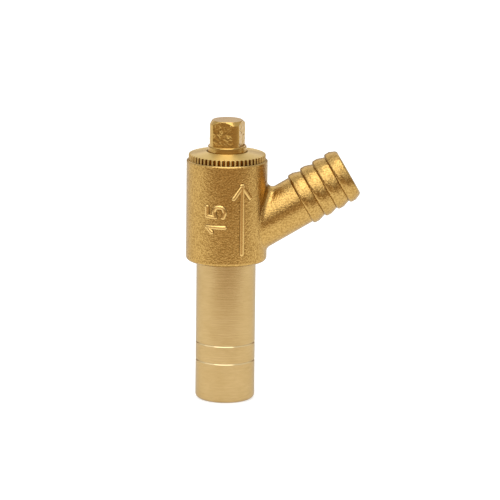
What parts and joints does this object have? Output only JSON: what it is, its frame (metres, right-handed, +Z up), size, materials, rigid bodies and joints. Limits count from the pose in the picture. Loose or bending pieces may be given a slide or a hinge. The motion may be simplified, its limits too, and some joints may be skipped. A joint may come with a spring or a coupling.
{
  "type": "drain cock",
  "caption": "Screw-down brass drain cock: plain pipe stem below, straight barrel, ribbed hose tail rising at a slant, serrated retaining cap and a square-headed spindle that turns to open it.",
  "frame": {"origin": "centre of the stem's end face", "axes": "+Z up the stem and barrel towards the spindle's square head, +X towards the hose tail's side, +Y across the barrel"},
  "size_m": [0.0439, 0.0209, 0.0717],
  "materials": {
    "forged_brass": "hot-stamped and shot-blasted, stem turned",
    "turned_brass": "turned, bare",
    "rubber": "moulded, matt black"
  },
  "bodies": {
    "body": {"valve_body": "forged_brass", "retaining_cap": "turned_brass"},
    "jumper": {"jumper": "turned_brass", "seat_washer": "rubber", "washer_nut": "turned_brass"},
    "spindle": {"spindle": "turned_brass", "spindle_o_ring": "rubber"}
  },
  "joints": [
    {"name": "spindle_rise", "type": "slide", "parent": "body", "child": "jumper", "axis": [0, 0, 1], "range_m": [0, 0.003]},
    {"name": "spindle_turn", "type": "hinge", "parent": "jumper", "child": "spindle", "pos_m": [0, 0, 0.0452], "axis": [0, 0, 1], "range_deg": [0, 720]}
  ],
  "couplings": [
    {"joint": "spindle_turn", "follows": "spindle_rise", "rad_per_m": 4188.8}
  ]
}
